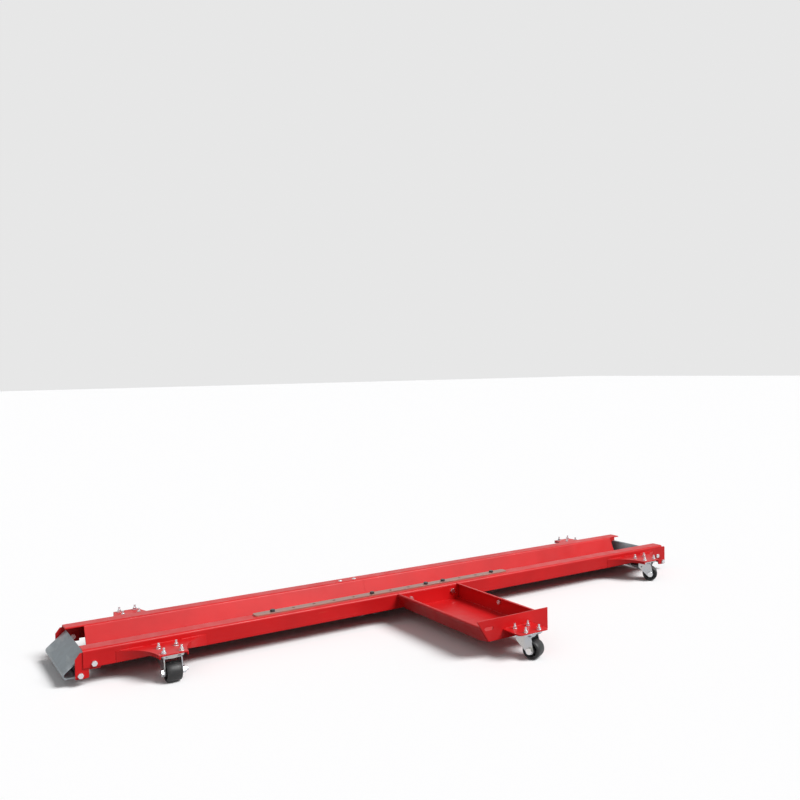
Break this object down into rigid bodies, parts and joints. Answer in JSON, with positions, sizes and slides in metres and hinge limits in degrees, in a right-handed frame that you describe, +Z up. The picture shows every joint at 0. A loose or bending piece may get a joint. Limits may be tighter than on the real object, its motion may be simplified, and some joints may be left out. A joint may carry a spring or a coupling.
{
  "type": "motorcycle mover dolly",
  "caption": "Low red sheet-steel wheel trough on swivel casters, with hinged end flaps and a side stand tray that reaches out to its own caster.",
  "frame": {"origin": "middle of the trolley's box, on the ground", "axes": "+X along the trough from its front flap to its rear end, +Y away from the side stand tray, +Z up"},
  "size_m": [2.105, 0.862, 0.105],
  "materials": {
    "red_paint": "gloss",
    "bright_zinc": "satin",
    "caster_zinc": "satin",
    "bearing_steel": "polished",
    "galvanised_sheet": "satin",
    "zinc_strip": "satin",
    "black_rubber": "matte",
    "dark_pedal": "satin",
    "dark_oxide": "satin",
    "white_nylon": "matte"
  },
  "bodies": {
    "trolley": {"front_channel": "red_paint", "rear_channel": "red_paint", "stand_rail": "zinc_strip", "rail_bolts": "dark_oxide", "rail_nuts": "bright_zinc", "splice_bolts": "bright_zinc", "splice_nuts": "bright_zinc", "ear_bolts": "bright_zinc", "ear_nuts": "bright_zinc", "front_hinge_rod": "bright_zinc", "rear_hinge_rod": "bright_zinc", "hinge_nuts": "bright_zinc", "hinge_spacers": "white_nylon", "stand_tray": "red_paint", "tray_end_plate": "red_paint", "outrigger_shelf": "red_paint", "tray_bolts": "bright_zinc", "tray_nuts": "bright_zinc", "caster_bolts": "bright_zinc", "caster_nuts": "bright_zinc", "front_near_ear": "red_paint", "front_far_ear": "red_paint", "rear_near_ear": "red_paint", "rear_far_ear": "red_paint", "front_near_wing": "red_paint", "front_far_wing": "red_paint", "rear_near_wing": "red_paint", "rear_far_wing": "red_paint", "front_near_caster_plate": "caster_zinc", "front_far_caster_plate": "caster_zinc", "rear_near_caster_plate": "caster_zinc", "rear_far_caster_plate": "caster_zinc", "outrigger_caster_plate": "caster_zinc"},
    "front_flap": {"front_flap": "galvanised_sheet"},
    "rear_flap": {"rear_flap": "galvanised_sheet"},
    "front_near_swivel": {"front_near_fork": "caster_zinc", "front_near_swivel_balls": "bearing_steel", "front_near_axle": "bright_zinc"},
    "front_near_wheel": {"front_near_wheel": "black_rubber"},
    "front_far_swivel": {"front_far_fork": "caster_zinc", "front_far_swivel_balls": "bearing_steel", "front_far_axle": "bright_zinc"},
    "front_far_wheel": {"front_far_wheel": "black_rubber"},
    "rear_near_swivel": {"rear_near_fork": "caster_zinc", "rear_near_swivel_balls": "bearing_steel", "rear_near_axle": "bright_zinc"},
    "rear_near_wheel": {"rear_near_wheel": "black_rubber"},
    "rear_near_pedal": {"rear_near_brake_pedal": "dark_pedal"},
    "rear_far_swivel": {"rear_far_fork": "caster_zinc", "rear_far_swivel_balls": "bearing_steel", "rear_far_axle": "bright_zinc"},
    "rear_far_wheel": {"rear_far_wheel": "black_rubber"},
    "rear_far_pedal": {"rear_far_brake_pedal": "dark_pedal"},
    "outrigger_swivel": {"outrigger_fork": "caster_zinc", "outrigger_swivel_balls": "bearing_steel", "outrigger_axle": "bright_zinc"},
    "outrigger_wheel": {"outrigger_wheel": "black_rubber"}
  },
  "joints": [
    {"name": "front_flap_hinge", "type": "hinge", "parent": "trolley", "child": "front_flap", "pos_m": [-1.0135, 0.18777, 0.029], "axis": [0, 1, 0], "range_deg": [0, 90]},
    {"name": "rear_flap_hinge", "type": "hinge", "parent": "trolley", "child": "rear_flap", "pos_m": [1.0405, 0.18777, 0.029], "axis": [0, 1, 0], "range_deg": [0, 90]},
    {"name": "front_near_swivel_turn", "type": "hinge", "parent": "trolley", "child": "front_near_swivel", "pos_m": [-0.8145, -0.00723, 0.061], "axis": [0, 0, 1], "continuous": true},
    {"name": "front_near_wheel_spin", "type": "hinge", "parent": "front_near_swivel", "child": "front_near_wheel", "pos_m": [-0.8145, -0.02523, 0.025], "axis": [1, 0, 0], "continuous": true},
    {"name": "front_far_swivel_turn", "type": "hinge", "parent": "trolley", "child": "front_far_swivel", "pos_m": [-0.8145, 0.38277, 0.061], "axis": [0, 0, 1], "continuous": true},
    {"name": "front_far_wheel_spin", "type": "hinge", "parent": "front_far_swivel", "child": "front_far_wheel", "pos_m": [-0.83141, 0.38893, 0.025], "axis": [-0.342, -0.9397, 0], "continuous": true},
    {"name": "rear_near_swivel_turn", "type": "hinge", "parent": "trolley", "child": "rear_near_swivel", "pos_m": [0.8695, -0.00723, 0.061], "axis": [0, 0, 1], "continuous": true},
    {"name": "rear_near_wheel_spin", "type": "hinge", "parent": "rear_near_swivel", "child": "rear_near_wheel", "pos_m": [0.88154, -0.02061, 0.025], "axis": [0.7431, 0.6691, 0], "continuous": true},
    {"name": "rear_near_pedal_press", "type": "hinge", "parent": "rear_near_swivel", "child": "rear_near_pedal", "pos_m": [0.86281, 0.0002, 0.05], "axis": [-0.7431, -0.6691, 0], "range_deg": [0, 11]},
    {"name": "rear_far_swivel_turn", "type": "hinge", "parent": "trolley", "child": "rear_far_swivel", "pos_m": [0.8695, 0.38277, 0.061], "axis": [0, 0, 1], "continuous": true},
    {"name": "rear_far_wheel_spin", "type": "hinge", "parent": "rear_far_swivel", "child": "rear_far_wheel", "pos_m": [0.85793, 0.36898, 0.025], "axis": [0.766, -0.6428, 0], "continuous": true},
    {"name": "rear_far_pedal_press", "type": "hinge", "parent": "rear_far_swivel", "child": "rear_far_pedal", "pos_m": [0.87593, 0.39043, 0.05], "axis": [-0.766, 0.6428, 0], "range_deg": [0, 11]},
    {"name": "outrigger_swivel_turn", "type": "hinge", "parent": "trolley", "child": "outrigger_swivel", "pos_m": [0.0085, -0.38523, 0.061], "axis": [0, 0, 1], "continuous": true},
    {"name": "outrigger_wheel_spin", "type": "hinge", "parent": "outrigger_swivel", "child": "outrigger_wheel", "pos_m": [0.01596, -0.40161, 0.025], "axis": [0.91, 0.4147, 0], "continuous": true}
  ]
}
